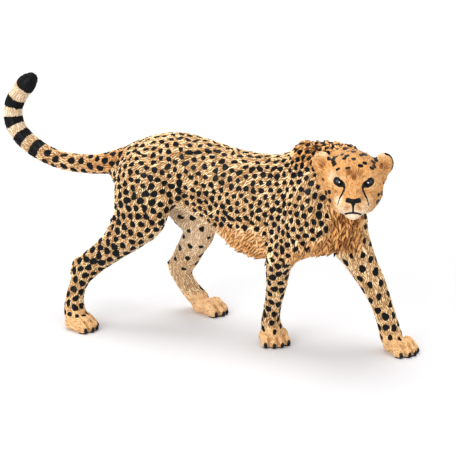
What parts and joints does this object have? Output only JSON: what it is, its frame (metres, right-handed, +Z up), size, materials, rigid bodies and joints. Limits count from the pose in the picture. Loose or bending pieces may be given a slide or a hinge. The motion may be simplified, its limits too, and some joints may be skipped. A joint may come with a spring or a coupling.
{
  "type": "toy cheetah figure",
  "caption": "Small painted plastic figure of a walking cheetah with its head turned to the side and its tail raised; a still model that stands on its own paws.",
  "frame": {"origin": "middle of the figure's box, on the surface that the paws stand on", "axes": "+X is the way the cheetah walks, +Y its left side, +Z up; the head is turned to its right, towards -Y"},
  "size_m": [0.0994, 0.0304, 0.054],
  "materials": {
    "coat_paint": "hand-painted satin: tan coat with black spots, brown washes in the fur and pale face and paws",
    "black_gloss": "black gloss paint"
  },
  "bodies": {
    "root": {"trunk": "coat_paint", "neck": "coat_paint", "head": "coat_paint", "ear_left": "coat_paint", "ear_right": "coat_paint", "eye_left": "black_gloss", "eye_right": "black_gloss", "tail_base": "coat_paint", "tail_middle": "coat_paint", "tail_tip": "coat_paint", "front_left_upper": "coat_paint", "front_left_lower": "coat_paint", "front_left_paw": "coat_paint", "front_right_upper": "coat_paint", "front_right_lower": "coat_paint", "front_right_paw": "coat_paint", "hind_left_upper": "coat_paint", "hind_left_lower": "coat_paint", "hind_left_paw": "coat_paint", "hind_right_upper": "coat_paint", "hind_right_lower": "coat_paint", "hind_right_paw": "coat_paint"}
  },
  "joints": []
}
